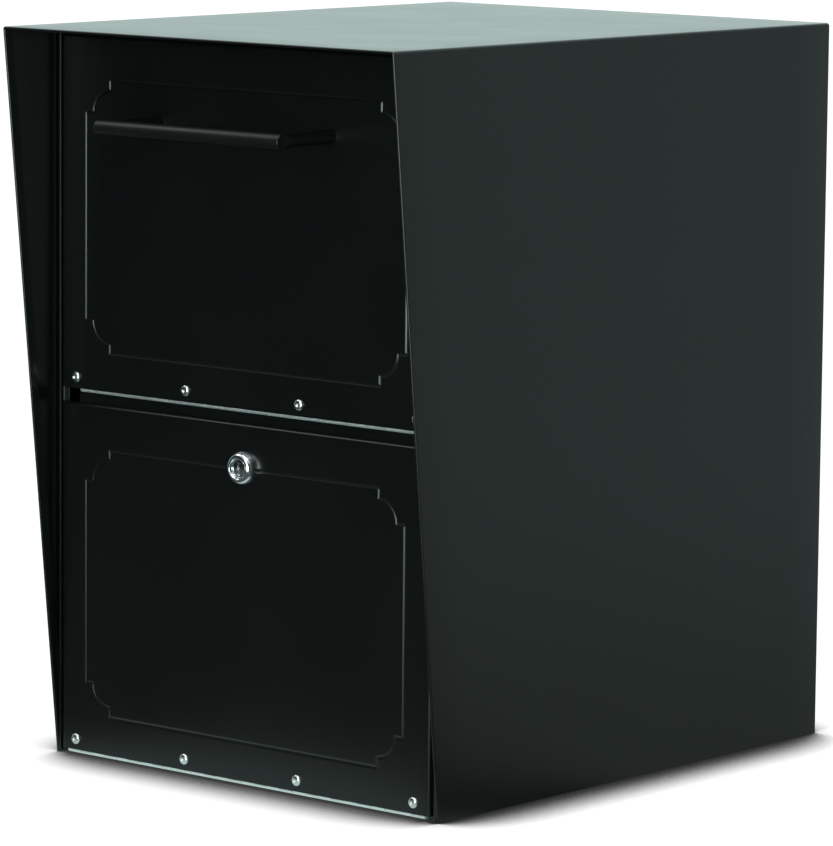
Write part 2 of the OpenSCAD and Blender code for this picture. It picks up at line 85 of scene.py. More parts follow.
# Door faces, which hang a little over the knuckles, and their stamped outline
DOOR_BEND = 2.6 * MM
DOOR_HANG = 1.1 * MM
OUTLINE_W = 315 * MM
OUTLINE_H = 203 * MM
OUTLINE_RISE = 30 * MM
CORNER_STEP = 7.5 * MM
CORNER_R = 17 * MM
GROOVE_W = 3 * MM
GROOVE_DEPTH = 0.65 * MM
FINE_PITCH = 0.5 * MM
COARSE_PITCH = 8 * MM

# Hinges. A knuckle's section starts its roll at 180 degrees
KNUCKLE_R = 1.8 * MM
KNUCKLE_BORE = 1.05 * MM
KNUCKLE_PITCH = 12.7 * MM
KNUCKLE_GAP = 0.3 * MM
ROLL_END_DEG = 478
LEAF = 0.95 * MM
LEAF_REACH = 17 * MM

# Rivets
RIVET_HEAD_R = 4.2 * MM
RIVET_HEAD_H = 2.15 * MM
RIVET_SHANK_R = 2 * MM
RIVET_RISE = 9.4 * MM
OUTER_RIVET_X = 168 * MM
BACK_GRIP = 2.4 * MM
BACK_RIVETS_UP = 5

# Handle and lock
POST_R = 5 * MM
POST_INSET = 6 * MM
BARREL_R = 9.4 * MM
THREAD_PITCH = 1.2 * MM
THREAD_DEPTH = 0.35 * MM
PLUG_BORE = 6.95 * MM
CAM_TIP_R = 6.5 * MM
WASHER_TEETH = 20

# ---- Places read from the frame ----

wrap_low, wrap_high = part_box("outer_wrap")
half_w = wrap_high.x
top_z = wrap_high.z
hood_y = wrap_low.y
back_y = wrap_high.y
front_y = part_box("lower_door_skin")[0].y
wing_foot_y = front_y + WING_SETBACK
joint_at = {joint["name"]: joint["pos_m"] for joint in frame["joints"]}
hinge_y = joint_at["hopper_tilt"][1]
upper_axis_z = joint_at["hopper_tilt"][2]
lower_axis_z = joint_at["retrieval_door_swing"][2]
lock_x, _, lock_z = joint_at["lock_turn"]


# ---- Shapes: each is its points and the lists of points round its faces ----

def quads(rows, columns, closed=False):
    """The faces of a grid of points; closed joins the last column to the first."""
    i = np.arange(rows - 1)[:, None]
    j = np.arange(columns if closed else columns - 1)[None, :]
    k = (j + 1) % columns
    corners = [i * columns + j, i * columns + k, (i + 1) * columns + k, (i + 1) * columns + j]
    return np.stack(corners, -1).reshape(-1, 4).tolist()


def sheet(grid):
    """A grid of points, rows by columns by 3, as one open surface."""
    rows, columns, _ = grid.shape
    return grid.reshape(-1, 3), quads(rows, columns)


def join(*shapes):
    """Several shapes as one, each face list moved on by the points before it."""
    points, faces, count = [], [], 0
    for shape_points, shape_faces in shapes:
        points.append(shape_points)
        faces += [[count + i for i in face] for face in shape_faces]
        count += len(shape_points)
    return np.concatenate(points), faces


def moved(shape, offset):
    """A shape carried along by an offset."""
    return shape[0] + np.asarray(offset), shape[1]


def unit(vector):
    """Vectors over their own lengths."""
    return vector / np.linalg.norm(vector, axis=-1, keepdims=True)


def rounded(corners, radii, steps=5):
    """A closed outline whose corners are arcs: each arc touches both of its sides, so its
    centre lies on the corner's bisector, the radius over the sine of the half angle away."""
    corners = np.asarray(corners, float)
    radii = np.broadcast_to(radii, len(corners))
    outline = []
    for i, (corner, radius) in enumerate(zip(corners, radii)):
        before = unit(corners[i - 1] - corner)
        after = unit(corners[(i + 1) % len(corners)] - corner)
        half = math.acos(np.clip(before @ after, -1, 1)) / 2
        centre = corner + unit(before + after) * radius / math.sin(half)
        first = corner + before * radius / math.tan(half) - centre
        last = corner + after * radius / math.tan(half) - centre
        share = np.linspace(0, 1, steps + 1)[:, None]
        outline.append(centre + radius * unit(first * (1 - share) + last * share))
    return np.concatenate(outline)


def folded(path, thickness, bend):
    """The section of a sheet folded along a path, its thickness on the path's left, or on
    its right when negative. Each fold is an arc of radius bend inside, and of bend plus the
    thickness outside. The cut ends are eased by a part of the thickness."""
    path = np.asarray(path, float)
    ahead = unit(np.diff(path, axis=0))
    left = np.stack([-ahead[:, 1], ahead[:, 0]], -1)
    into = np.vstack([left[:1], left])
    out = np.vstack([left, left[-1:]])
    spread = 1 + np.sum(into * out, -1, keepdims=True)
    other = path + thickness * (into + out) / spread
    turn = np.r_[0, ahead[:-1, 0] * ahead[1:, 1] - ahead[:-1, 1] * ahead[1:, 0], 0] * thickness
    near = np.where(turn > 0, bend + abs(thickness), bend)
    far = np.where(turn > 0, bend, bend + abs(thickness))
    cut_r = 0.3 * abs(thickness)
    near[[0, -1]] = cut_r
    far[[0, -1]] = cut_r
    return rounded(np.vstack([path, other[::-1]]), np.r_[near, far[::-1]])


def outward(outline):
    """The outward direction at each point of a closed outline, longer where it turns, up to
    a limit at sharp corners. The sign of the area tells which way round the outline goes."""
    following = np.roll(outline, -1, 0)
    ahead = unit(following - outline)
    area = np.sum(outline[:, 0] * following[:, 1] - outline[:, 1] * following[:, 0])
    normal = np.stack([ahead[:, 1], -ahead[:, 0]], -1) * np.sign(area)
    both = normal + np.roll(normal, 1, 0)
    return both / np.maximum(np.sum(both * normal, -1, keepdims=True), 0.5)


def along_x(outline, x):
    """An outline in Y and Z, placed at an X."""
    return np.column_stack([np.full(len(outline), x), outline])


def along_y(outline, y):
    """An outline in X and Z, placed at a Y."""
    return np.column_stack([outline[:, 0], np.full(len(outline), y), outline[:, 1]])


def along_z(outline, z):
    """An outline in X and Y, placed at a Z."""
    return np.column_stack([outline, np.full(len(outline), z)])


def prism(outline, start, end, place, edge=EDGE, bore_r=0):
    """An outline carried straight from start to end. Its end rings are drawn in by edge, so
    that both ends have a small chamfer. A bore turns the flat ends into rings round a hole."""
    drawn_in = outline - edge * outward(outline)
    rings = [(drawn_in, start), (outline, start + edge), (outline, end - edge), (drawn_in, end)]
    if bore_r:
        bore = bore_r * unit(outline)
        rings = [(bore, start)] + rings + [(bore, end), (bore, start)]
    points = np.concatenate([place(ring, t) for ring, t in rings])
    n = len(outline)
    faces = quads(len(rings), n, closed=True)
    ends = [] if bore_r else [list(range(n)), list(range(3 * n, 4 * n))]
    return points, faces + ends


def turned(profile, steps=48):
    """A lathe: each profile point, a radius and a height, goes round the Z axis."""
    radius, height = np.asarray(profile, float).T
    turn = 2 * math.pi * np.arange(steps) / steps
    points = np.stack([
        radius[:, None] * np.cos(turn), radius[:, None] * np.sin(turn),
        height[:, None] * np.ones(steps)
    ], -1)
    return points.reshape(-1, 3), quads(len(radius), steps, closed=True)


def facing_front(shape):
    """Turns a shape's +Z to -Y, the way the doors face."""
    x, y, z = shape[0].T
    return np.column_stack([x, -z, y]), shape[1]


def facing_back(shape):
    """Turns a shape's +Z to +Y."""
    x, y, z = shape[0].T
    return np.column_stack([-x, z, y]), shape[1]


def lying(shape):
    """Turns a shape's +Z to +X."""
    x, y, z = shape[0].T
    return np.column_stack([z, x, y]), shape[1]


def arc(centre, radius, start_deg, end_deg, steps):
    """Points on an arc, as radius and height or any other pair."""
    angle = np.radians(np.linspace(start_deg, end_deg, steps + 1))
    return np.asarray(centre) + radius * np.column_stack([np.cos(angle), np.sin(angle)])


def to_line(x, y, start, end):
    """How far points are from a straight line between two others."""
    dx, dy = end[0] - start[0], end[1] - start[1]
    share = np.clip(((x - start[0]) * dx + (y - start[1]) * dy) / (dx * dx + dy * dy), 0, 1)
    return np.hypot(x - start[0] - share * dx, y - start[1] - share * dy)


def sunk_head(radius, crown, sink, side, steps=96, rings=36):
    """A turned head on the Z axis. Its face is a polar grid that falls by crown from the
    middle to the rim, as the square of the radius, and goes down by sink(x, y)."""
    turn = 2 * math.pi * np.arange(steps) / steps
    share = np.linspace(0, 1, rings)[:, None]
    x, y = radius * share * np.cos(turn), radius * share * np.sin(turn)
    face = np.stack([x, y, crown * (1 - share ** 2) - sink(x, y)], -1)
    return join((face.reshape(-1, 3), quads(rings, steps, closed=True)), turned(side, steps))


def placed(name, data):
    """A new object with this data, in the scene."""
    item = bpy.data.objects.new(name, data)
    bpy.context.scene.collection.objects.link(item)
    return item


def make(name, shape, body, slot, replaces=(), wall=0, outside=None):
    """Puts a shape into a piece that rides on a body, in its slot's finish. An open surface
    has a wall, which thickens it inward, and outside, the way that most of it faces. The
    finished mesh is closed, faces outward and is smooth except across real edges."""
    mesh = bpy.data.meshes.new(name)
    mesh.from_pydata(shape[0].tolist(), [], shape[1])
    settled = bmesh.new()
    settled.from_mesh(mesh)
    bmesh.ops.remove_doubles(settled, verts=settled.verts, dist=WELD)
    bmesh.ops.recalc_face_normals(settled, faces=settled.faces)
    if outside:
        facing = sum((face.normal * face.calc_area() for face in settled.faces), Vector())
        if facing.dot(outside) < 0:
            bmesh.ops.reverse_faces(settled, faces=settled.faces)
    settled.to_mesh(mesh)
    settled.free()
    piece = placed(name, mesh)
    if wall:
        thicken = piece.modifiers.new("wall", "SOLIDIFY")
        thicken.thickness = wall
        thicken.offset = -1
        thicken.use_even_offset = True
        evaluated = piece.evaluated_get(bpy.context.evaluated_depsgraph_get())
        piece.data = bpy.data.meshes.new_from_object(evaluated)
        piece.modifiers.clear()
    piece.data.shade_smooth()
    piece.data.set_sharp_from_angle(angle=SMOOTH_BELOW)
    piece.data.materials.clear()
    piece.data.materials.append(finishes[slot])
    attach(piece, body)
    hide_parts(*replaces)


# ---- Shader helpers ----

class Signal:
    """A value in a shader. Arithmetic on it adds Math nodes."""

    def __init__(self, recipe, socket):
        self.recipe = recipe
        self.socket = socket

    def math(self, operation, first, second=0.0):
        """Adds one Math node."""
        inputs = {0: first, 1: second}
        return self.recipe.node("ShaderNodeMath", {"operation": operation}, inputs)

    def __add__(self, other):
        return self.math("ADD", self, other)

    __radd__ = __add__

    def __sub__(self, other):
        return self.math("SUBTRACT", self, other)

    def __rsub__(self, other):
        return self.math("SUBTRACT", other, self)

    def __mul__(self, other):
        return self.math("MULTIPLY", self, other)

    __rmul__ = __mul__

    def __abs__(self):
        return self.math("ABSOLUTE", self)

    def larger(self, other):
        """The larger of two values."""
        return self.math("MAXIMUM", self, other)

    def ramp(self, low, high, to_low=0.0, to_high=1.0):
        """Rises smoothly from to_low to to_high as the value goes from low to high."""
        inputs = {0: self, 1: low, 2: high, 3: to_low, 4: to_high}
        settings = {"interpolation_type": "SMOOTHSTEP", "clamp": True}
        return self.recipe.node("ShaderNodeMapRange", settings, inputs)


class Recipe:
    """The nodes of one material, or of the world."""

    def __init__(self, tree):
        self.tree = tree
        self.tree.nodes.clear()

    def node(self, kind, settings=None, inputs=None, output=0):
        """Adds a node: first its settings, then the values or links of its sockets."""
        made = self.tree.nodes.new(kind)
        for key, value in (settings or {}).items():
            setattr(made, key, value)
        for key, value in (inputs or {}).items():
            if isinstance(value, Signal):
                self.tree.links.new(value.socket, made.inputs[key])
            else:
                made.inputs[key].default_value = value
        return Signal(self, made.outputs[output]) if made.outputs else None

    def vector(self, operation, first, second=None, output=0):
        """Adds one Vector Math node."""
        inputs = {0: first} if second is None else {0: first, 1: second}
        return self.node("ShaderNodeVectorMath", {"operation": operation}, inputs, output)

    def axis(self, direction, name):
        """One of a vector's X, Y and Z."""
        return self.node("ShaderNodeSeparateXYZ", {}, {0: direction}, output=name)

    def place(self, stretch=(1, 1, 1)):
        """Where a point is on the object, in metres, each axis stretched."""
        here = self.node("ShaderNodeTexCoord", output="Object")
        return self.node("ShaderNodeMapping", {}, {"Vector": here, "Scale": stretch})

    def noise(self, size, detail=2.0, roughness=0.5, stretch=(1, 1, 1)):
        """Soft random patches of about this size, from 0 to 1."""
        inputs = {
            "Vector": self.place(stretch), "Scale": 1 / size, "Detail": detail,
            "Roughness": roughness
        }
        return self.node("ShaderNodeTexNoise", {}, inputs)

    def crystals(self, size):
        """Random cells of about this size, each with its own value from 0 to 1."""
        inputs = {"Vector": self.place(), "Scale": 1 / size, "Randomness": 1.0}
        cell = self.node("ShaderNodeTexVoronoi", {}, inputs, output="Color")
        return self.node("ShaderNodeSeparateColor", {}, {0: cell})

    def edges(self, radius):
        """1 on outer edges and folds, 0 on flat faces: how far a rounded normal leans away
        from the face's own."""
        soft = self.node("ShaderNodeBevel", {"samples": 4}, {"Radius": radius})
        own = self.node("ShaderNodeNewGeometry", output="Normal")
        lean = self.vector("DOT_PRODUCT", soft, own, output="Value")
        return (1 - lean).ramp(0.02, 0.3)

    def colour_mix(self, share, first, second):
        """Goes from the first colour to the second as share goes from 0 to 1."""
        inputs = {0: share, 6: (*first, 1), 7: (*second, 1)}
        return self.node("ShaderNodeMix", {"data_type": "RGBA"}, inputs, output=2)

    def bump(self, height, depth, below=None):
        """Raises the surface by height times depth, in metres, on top of another bump."""
        inputs = {"Height": height, "Distance": depth, "Strength": 1.0}
        if below is not None:
            inputs["Normal"] = below
        return self.node("ShaderNodeBump", {}, inputs)

    def finish(self, **inputs):
        """Ends a material in a Principled shader with these sockets set or linked."""
        shader = self.node("ShaderNodeBsdfPrincipled", {}, {
            key.replace("_", " "): value for key, value in inputs.items()
        })
        self.node("ShaderNodeOutputMaterial", {}, {"Surface": shader})


def new_recipe(name):
    """A new material and the recipe that fills it."""
    material = bpy.data.materials.new(name)
    material.use_nodes = True
    return material, Recipe(material.node_tree)


def powder_coat(name, shade, lighter, roughness, shine):
    """Satin powder coat: orange peel about a millimetre across under a finer grain, soft
    changes of sheen over the sheet, and a thinner, paler film along folds and edges."""
    material, r = new_recipe(name)
    peel = r.noise(1.6 * MM, 1.5)
    grain = r.noise(0.35 * MM, 1.0)
    clouds = r.noise(70 * MM, 3.0)
    specks = r.noise(0.9 * MM, 0.0).ramp(0.74, 0.8)
    worn = r.edges(0.7 * MM)
    r.finish(
        Base_Color=r.colour_mix(clouds * 0.35 + worn * 0.5 + specks * 0.2, shade, lighter),
        Roughness=roughness + clouds * 0.07 + grain * 0.05 + worn * 0.06,
        Specular_IOR_Level=shine,
        Normal=r.bump(grain, 0.004 * MM, r.bump(peel, 0.02 * MM)),
    )
    return material


def brushed(name, shade, darker, roughness, stretch):
    """Bare or plated steel with fine drawn lines along one direction and faint stains."""
    material, r = new_recipe(name)
    lines = r.noise(0.25 * MM, 2.0, stretch=stretch)
    stains = r.noise(9 * MM, 3.0)
    worn = r.edges(0.3 * MM)
    r.finish(
        Base_Color=r.colour_mix(stains * 0.6 + lines * 0.3 - worn * 0.3, shade, darker),
        Metallic=1.0,
        Roughness=roughness + lines * 0.14 + stains * 0.08,
        Normal=r.bump(lines, 0.006 * MM),
    )
    return material


def chrome_plate():
    """Polished chrome: almost a mirror, with hairline wear and a faint haze."""
    material, r = new_recipe("lock_chrome")
    hairlines = r.noise(0.2 * MM, 3.0, stretch=(1, 1, 0.05))
    haze = r.noise(5 * MM, 2.0)
    r.finish(
        Base_Color=r.colour_mix(haze * 0.5, (0.86, 0.87, 0.88), (0.74, 0.76, 0.77)),
        Metallic=1.0,
        Roughness=0.1 + hairlines * 0.05 + haze * 0.05,
        Normal=r.bump(hairlines, 0.0008 * MM),
    )
    return material


def zinc_plate():
    """Zinc plate: small crystals of slightly different grey under a cool haze."""
    material, r = new_recipe("zinc_plate")
    spangle = r.crystals(1.8 * MM)
    haze = r.noise(6 * MM, 3.0)
    worn = r.edges(0.3 * MM)
    r.finish(
        Base_Color=r.colour_mix(spangle * 0.5 + haze * 0.4, (0.66, 0.68, 0.69), (0.46, 0.48, 0.5)),
        Metallic=1.0,
        Roughness=0.28 + spangle * 0.12 + haze * 0.1 - worn * 0.05,
        Normal=r.bump(spangle, 0.003 * MM),
    )
    return material


finishes = {
    "powder_coat": powder_coat("powder_coat", shade=(0.0015, 0.002, 0.002),
                               lighter=(0.004, 0.0055, 0.0055), roughness=0.24, shine=0.42),
    "handle_coat": powder_coat("handle_coat", shade=(0.001, 0.0015, 0.0015),
                               lighter=(0.004, 0.005, 0.005), roughness=0.36, shine=0.3),
    "hinge_steel": brushed("hinge_steel", shade=(0.9, 0.92, 0.91), darker=(0.72, 0.74, 0.74),
                           roughness=0.44, stretch=(0.04, 1, 1)),
    "rivet_steel": brushed("rivet_steel", shade=(0.8, 0.81, 0.8), darker=(0.62, 0.64, 0.64),
                           roughness=0.14, stretch=(1, 1, 1)),
    "lock_chrome": chrome_plate(),
    "zinc_plate": zinc_plate(),
}


# ---- Cabinet ----

def front_edge(z):
    """The wings' front edge slopes straight from the foot out to the hood."""
    return wing_foot_y + (hood_y - wing_foot_y) * z / top_z


def wrap_section(inset):
    """X and Z along the folded top and sides, moved in by inset: up the left side, round
    two bends of a quarter circle and down the right side."""
    bend = TOP_BEND - inset
    x = half_w - TOP_BEND
    z = top_z - TOP_BEND
    rise = np.linspace(0, z, 24)[:-1]
    left_side = np.column_stack([np.full(len(rise), -half_w + inset), rise])
    right_side = (left_side * (-1, 1))[::-1]
    run = np.linspace(-x, x, 18)[1:-1]
    top = np.column_stack([run, np.full(len(run), top_z - inset)])
    left_bend = arc((-x, z), bend, 180, 90, steps=8)
    right_bend = arc((x, z), bend, 90, 0, steps=8)
    return np.vstack([left_side, left_bend, top, right_bend, right_side])


def outer_wrap():
    """One sheet: its hem comes forward inside, turns round the front edge on a half circle,
    runs back outside and bends in towards the flanges. A station is an inset, a share of the
    way from the front edge to the back, and an offset in Y."""
    nose = arc((SHEET, SHEET), SHEET, 90, 270, steps=10)
    run = np.linspace(0, 1, 14)
    turn_in = arc((0, BACK_BEND), BACK_BEND, -90, 0, steps=6)
    stations = [(2 * SHEET, 0, HEM), (2 * SHEET, 0, HEM / 2)]
    stations += [(inset, 0, depth) for depth, inset in nose]
    stations += [(0, share, (1 - share) * SHEET - share * BACK_BEND) for share in run[1:-1]]
    stations += [(inset, 1, depth - BACK_BEND) for depth, inset in turn_in]
    columns = []
    for inset, share, offset in stations:
        x, z = wrap_section(min(inset, TOP_BEND - EDGE)).T
        y = front_edge(z) * (1 - share) + back_y * share + offset
        columns.append(np.column_stack([x, y, z]))
    return sheet(np.stack(columns, 1))


def back_flanges():
    """Three flat strips turned in round the back, cut at the corners on a mitre."""
    rows, columns = 12, 3
    inset = np.linspace(BACK_BEND, BACK_FLANGE, columns)[None, :]
    share = np.linspace(0, 1, rows)[:, None]
    y = np.full((rows, columns), back_y)
    side_z = share * (top_z - inset - SHEET)
    top_x = (1 - 2 * share) * (half_w - inset - SHEET)
    left = np.stack([-half_w + inset + 0 * share, y, side_z], -1)
    right = np.stack([half_w - inset + 0 * share, y, side_z], -1)[::-1]
    top = np.stack([-top_x, y, top_z - inset + 0 * share], -1)
    return join(sheet(left), sheet(top), sheet(right))


def jamb_outline(side):
    """The front post's section: a flange behind the doors, a front edge folded back on itself,
    so two sheets thick, and a leg that joggles out to the wall behind the hem."""
    low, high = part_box("right_jamb")
    flange_x, leg_x, wall_x = low.x, high.x - SHEET, high.x
    stop_y, nose_y, rear_y = front_y + POST_BEHIND_DOOR, low.y, high.y
    joggle_y = nose_y + POST_JOGGLE
    corners = [
        (flange_x, stop_y), (leg_x - 2 * SHEET, stop_y), (leg_x - 2 * SHEET, nose_y), (leg_x, nose_y),
        (leg_x, joggle_y), (wall_x, joggle_y + 2 * SHEET), (wall_x, rear_y),
        (wall_x - SHEET, rear_y), (wall_x - SHEET, joggle_y + 3 * SHEET),
        (leg_x - SHEET, joggle_y + SHEET), (leg_x - SHEET, stop_y + SHEET),
        (flange_x, stop_y + SHEET)
    ]
    flange_r, seam_r, nose_r, inside_r, outside_r = 0.6 * MM, 0.2 * MM, 0.4 * MM, 1.5 * MM, 2.5 * MM
    radii = [
        CUT_R, flange_r, seam_r, nose_r, inside_r, outside_r, CUT_R,
        CUT_R, inside_r, outside_r, flange_r, CUT_R
    ]
    return rounded(corners, radii) * (side, 1)


def back_plate():
    """The flat back, its outline the inside of the folded top and sides."""
    low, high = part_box("back_panel")
    return prism(wrap_section(SHEET), low.y, high.y, along_y)


def cabinet_pieces():
    """The wrap and its flanges, the back and the two posts."""
    wall = SHEET - SLIT
    make("cabinet_wrap", outer_wrap(), "cabinet", "powder_coat", ["outer_wrap"], wall, (0, 0, 1))
    make("back_flanges", back_flanges(), "cabinet", "powder_coat", [], wall, (0, 1, 0))
    make("back_plate", back_plate(), "cabinet", "powder_coat", ["back_panel"])
    for name, side in (("left_jamb", -1), ("right_jamb", 1)):
        low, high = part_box(name)
        post = prism(jamb_outline(side), low.z, high.z, along_z)
        make(name + "_post", post, "cabinet", "powder_coat", [name])


# ---- Folded sheets behind the doors ----

def across(path, half_l, thickness=-SHEET):
    """A sheet folded along a path in Y and Z and carried across the box."""
    return prism(folded(path, thickness, INNER_BEND), -half_l, half_l, along_x)


def head_rail():
    """An angle behind the hopper door's top, its flange to the back."""
    low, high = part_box("head_rail")
    return across([(low.y, low.z), (low.y, high.z), (high.y, high.z)], high.x)


def cross_member():
    """An upside-down channel. Past the hopper's cheeks only a strip of its front goes on."""
    low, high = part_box("cross_member")
    channel_half_l, notch_h, lip = 169 * MM, 9 * MM, 11 * MM
    strip_z = high.z - notch_h
    path = [(low.y, low.z), (low.y, high.z), (high.y, high.z), (high.y, high.z - lip)]
    strip = rounded([
        (low.y, low.z), (low.y + SHEET, low.z), (low.y + SHEET, strip_z), (low.y, strip_z)
    ], CUT_R)
    right_end = prism(strip, channel_half_l, high.x, along_x)
    left_end = prism(strip, low.x, -channel_half_l, along_x)
    return join(across(path, channel_half_l), right_end, left_end)


def hopper_baffle():
    """An upright sheet with a flange to the back at its foot and another at its top."""
    low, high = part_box("hopper_baffle")
    lip = 12 * MM
    path = [(low.y + lip, low.z), (low.y, low.z), (low.y, high.z), (high.y, high.z)]
    return across(path, half_w - TOP_BEND)


def slope_end(radius):
    """Where the slope down from the shelf's end meets a circle about the hinge axis, which
    is the far root of a quadratic in the distance along the slope."""
    ahead = np.array([math.cos(TRAY_SLOPE), -math.sin(TRAY_SLOPE)])
    along = SHELF_END @ ahead
    return SHELF_END + ahead * (math.sqrt(along ** 2 - SHELF_END @ SHELF_END + radius ** 2) - along)


def drop_tray():
    """A flange behind the door, a short shelf, a long slope down and to the back, and a lip
    square to the slope. Its path is measured from the hinge axis."""
    low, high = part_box("drop_tray")
    flange_y, shelf_z = low.y - hinge_y, SHELF_END[1]
    edge = slope_end(TRAY_R)
    tip = edge - TRAY_LIP * np.array([math.sin(TRAY_SLOPE), math.cos(TRAY_SLOPE)])
    path = np.array([(flange_y, high.z - upper_axis_z), (flange_y, shelf_z), SHELF_END, edge, tip])
    return across(path + (hinge_y, upper_axis_z), high.x, SHEET)


def cheek(side):
    """The hopper's side: a sector about the hinge axis, whose rim ends just past upright, and
    an ear bent outward. The ear is drawn where it meets the back of the post with the hopper
    open, and then turned shut about the axis."""
    low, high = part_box("right_cheek")
    corner_y, corner_z = slope_end(CHEEK_R)
    rim = arc((0, 0), CHEEK_R, math.degrees(math.atan2(corner_z, corner_y)), 90.3, steps=48)
    sector = np.vstack([(-KNUCKLE_R, SHELF_END[1]), SHELF_END, rim])
    plate = prism(sector, low.x, low.x + SHEET, along_x)
    ear_x, ear_y = low.x + SHEET, front_y + EAR_BEHIND_DOOR - hinge_y
    ear_path = [(ear_x, ear_y + SHEET + EAR_LENGTH), (ear_x, ear_y), (high.x, ear_y)]
    ear_points, ear_faces = prism(folded(ear_path, SHEET, 0.8 * MM), EAR_FROM, EAR_TO, along_z)
    x, y, z = ear_points.T
    ear_shut = np.column_stack([
        x, y * math.cos(HOPPER_OPEN) + z * math.sin(HOPPER_OPEN),
        z * math.cos(HOPPER_OPEN) - y * math.sin(HOPPER_OPEN)
    ])
    points, faces = moved(join(plate, (ear_shut, ear_faces)), (0, hinge_y, upper_axis_z))
    return points * (side, 1, 1), faces


def door_liner():
    """The retrieval door's stiffening pan: its sides come back from the door and turn in on a
    quarter circle to a flat border round a slightly sunk panel. Each ring is the outline
    moved in by an inset, at a Y."""
    low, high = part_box("lower_door_liner")
    corners = np.array([(low.x, low.z), (high.x, low.z), (high.x, high.z), (low.x, high.z)])
    inward = np.array([(1, 1), (-1, 1), (-1, -1), (1, -1)])
    bend, corner_r, least_r = 2.5 * MM, 6 * MM, 2 * MM
    border, sink_foot, panel_edge, sunk = 14 * MM, 15.5 * MM, 20 * MM, 0.8 * MM
    stations = [(0, low.y + SLIT), (0, high.y - bend)]
    stations += arc((bend, high.y - bend), bend, 165, 90, steps=5).tolist()
    stations += [(border, high.y), (sink_foot, high.y - sunk), (panel_edge, high.y - sunk)]
    rings = []
    for inset, y in stations:
        outline = rounded(corners + inset * inward, max(corner_r - inset, least_r))
        rings.append(along_y(outline, y))
    n, count = len(rings[0]), len(rings)
    panel = list(range((count - 1) * n, count * n))
    return np.concatenate(rings), quads(count, n, closed=True) + [panel]


def back_pop_rivets():
    """The rivets round the back: up both sides and along the top."""
    low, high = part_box("back_rivets")
    side_x = high.x - RIVET_HEAD_R
    bottom, top = low.z + RIVET_HEAD_R, high.z - RIVET_HEAD_R
    heights = np.linspace(bottom, top, BACK_RIVETS_UP)
    places = [(side * side_x, z) for side in (-1, 1) for z in heights]
    places += [(share * side_x / 2, top) for share in (-1, 0, 1)]
    one = facing_back(rivet(BACK_GRIP))
    return join(*[moved(one, (x, back_y, z)) for x, z in places])


def inner_pieces():
    """The rails and baffle, the hopper's tray and cheeks, the liner and the back's rivets."""
    for name, shape, body in (
        ("head_rail", head_rail(), "cabinet"), ("cross_member", cross_member(), "cabinet"),
        ("hopper_baffle", hopper_baffle(), "cabinet"), ("drop_tray", drop_tray(), "hopper"),
        ("left_cheek", cheek(-1), "hopper"), ("right_cheek", cheek(1), "hopper"),
    ):
        make(name + "_sheet", shape, body, "powder_coat", [name])
    make("door_liner_pan", door_liner(), "retrieval_door", "powder_coat", ["lower_door_liner"],
         SHEET, (0, 1, 0))
    make("back_pop_rivets", back_pop_rivets(), "cabinet", "rivet_steel", ["back_rivets"])


# ---- Doors ----

def outline_distance(x, z):
    """The distance from the stamped outline's centre line, for points measured from its
    middle. One quarter stands for all four: a side, a step, an arc, a step and a top."""
    x, z = np.abs(x), np.abs(z)
    w, h = OUTLINE_W / 2, OUTLINE_H / 2
    arc_x, arc_z = w - CORNER_STEP - CORNER_R, h - CORNER_STEP - CORNER_R
    turn = np.clip(np.arctan2(z - arc_z, x - arc_x), 0, math.pi / 2)
    to_arc = np.hypot(x - arc_x - CORNER_R * np.cos(turn), z - arc_z - CORNER_R * np.sin(turn))
    lines = [
        ((w, 0), (w, arc_z)), ((w - CORNER_STEP, arc_z), (w, arc_z)),
        ((arc_x, h - CORNER_STEP), (arc_x, h)), ((0, h), (arc_x, h))
    ]
    return np.minimum.reduce([to_arc] + [to_line(x, z, start, end) for start, end in lines])


def graded(low, high, zones, fine, coarse):
    """Grid lines from low to high, close together inside the zones and far apart between."""
    marks = [low] + [edge for zone in zones for edge in zone] + [high]
    lines = []
    for i, (a, b) in enumerate(zip(marks, marks[1:])):
        pitch = fine if i % 2 else coarse
        lines.append(np.linspace(a, b, max(2, round((b - a) / pitch) + 1))[:-1])
    return np.append(np.concatenate(lines), high)


def door_face(name, axis_z):
    """The stamped face and its rim. The face sinks along the outline by a raised cosine of
    the distance. Round the sides and top the edge turns back on a quarter circle."""
    low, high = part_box(name)
    middle = axis_z + OUTLINE_RISE + OUTLINE_H / 2
    near = CORNER_STEP + CORNER_R + GROOVE_W
    w, h = OUTLINE_W / 2, OUTLINE_H / 2
    foot, top = middle - h, middle + h
    x_zones = [(-w - GROOVE_W, near - w), (w - near, w + GROOVE_W)]
    z_zones = [(foot - GROOVE_W, foot + near), (top - near, top + GROOVE_W)]
    x = graded(low.x + DOOR_BEND, high.x - DOOR_BEND, x_zones, FINE_PITCH, COARSE_PITCH)
    z = graded(low.z - DOOR_HANG, high.z - DOOR_BEND, z_zones, FINE_PITCH, COARSE_PITCH)
    grid_x, grid_z = np.meshgrid(x, z)
    share = np.clip(outline_distance(grid_x, grid_z - middle) / (GROOVE_W / 2), 0, 1)
    sink = GROOVE_DEPTH * (1 + np.cos(math.pi * share)) / 2
    face = np.stack([grid_x, low.y + sink, grid_z], -1)
    border = np.concatenate([face[:-1, 0], face[-1], face[-2::-1, -1]])
    away = np.zeros((len(border), 3))
    away[:len(z), 0] = -1
    away[-len(z):, 0] = 1
    away[len(z) - 1:len(z) - 1 + len(x), 2] = 1
    turn = np.radians(np.linspace(0, 90, 7))
    back = np.array([0, 1, 0])
    rings = [border + DOOR_BEND * (away * np.sin(t) + back * (1 - np.cos(t))) for t in turn]
    rings.append(rings[-1] + [0, high.y - low.y - DOOR_BEND, 0])
    return join(sheet(face), sheet(np.stack(rings, 1)))


